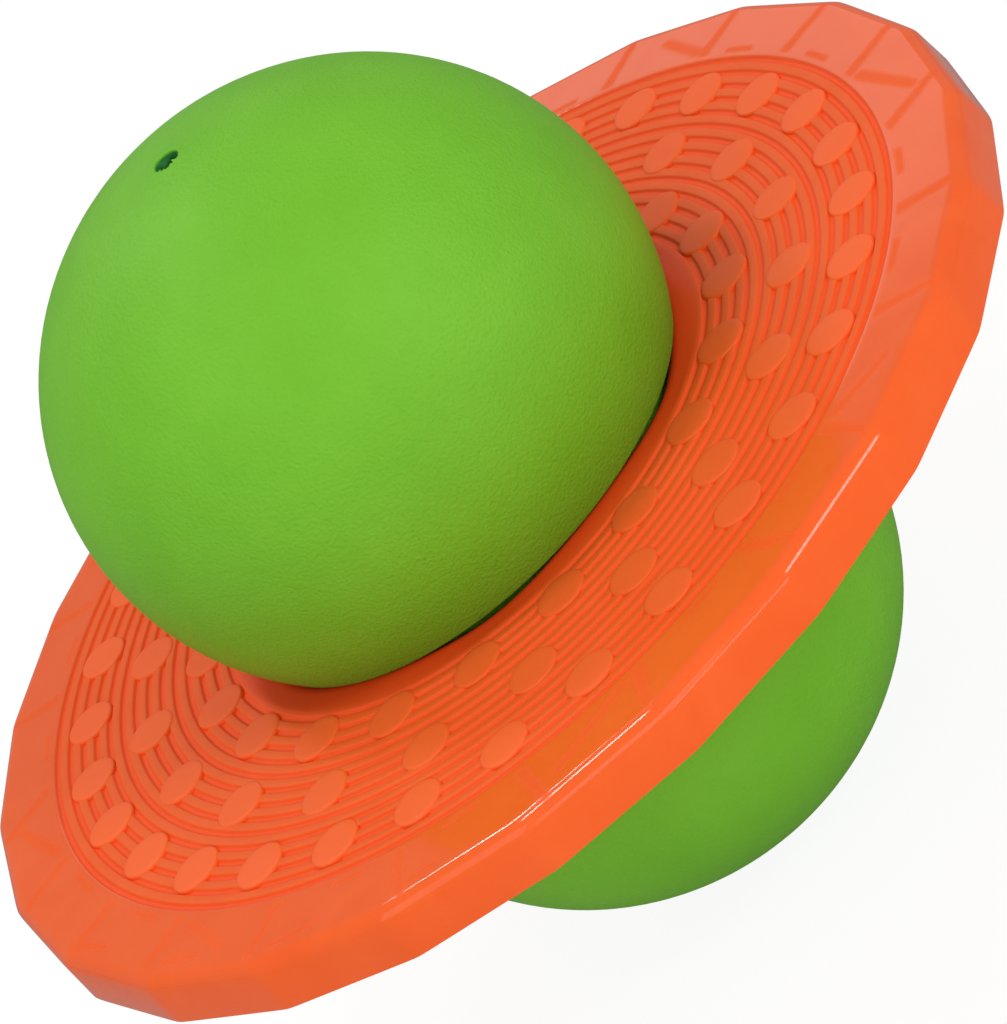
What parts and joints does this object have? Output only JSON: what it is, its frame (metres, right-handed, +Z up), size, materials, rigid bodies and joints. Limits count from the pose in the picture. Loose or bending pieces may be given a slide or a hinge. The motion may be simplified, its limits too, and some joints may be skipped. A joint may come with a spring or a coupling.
{
  "type": "pogo ball",
  "caption": "Jumping toy: an inflated figure-eight ball held at its neck by a round many-sided standing deck with a raised grip pattern and a plugged filling valve.",
  "frame": {"origin": "middle of the flat patch that the ball stands on", "axes": "+Z up along the ball's axis through both lobes, +X towards a pair of grip pads that line up"},
  "size_m": [0.376, 0.376, 0.2895],
  "materials": {
    "ball": "matte grained",
    "deck": "gloss",
    "valve_seat": "matte",
    "valve_plug": "matte"
  },
  "bodies": {
    "lower_ball": {"lower_ball": "ball"},
    "upper_ball": {"upper_ball": "ball", "valve_seat": "valve_seat"},
    "deck": {"deck": "deck"},
    "valve_plug": {"valve_plug": "valve_plug"}
  },
  "joints": [
    {"name": "bounce", "type": "slide", "parent": "lower_ball", "child": "upper_ball", "axis": [0, 0, -1], "range_m": [0, 0.04], "stiffness_N_per_m": 20000, "springref_m": -0.001, "deforming": ["lower_ball"]},
    {"name": "deck_turn", "type": "hinge", "parent": "upper_ball", "child": "deck", "pos_m": [0, 0, 0.1435], "axis": [0, 0, 1], "continuous": true},
    {"name": "plug_pull", "type": "slide", "parent": "upper_ball", "child": "valve_plug", "axis": [0.064, -0.0483, 0.9968], "range_m": [0, 0.03]}
  ]
}
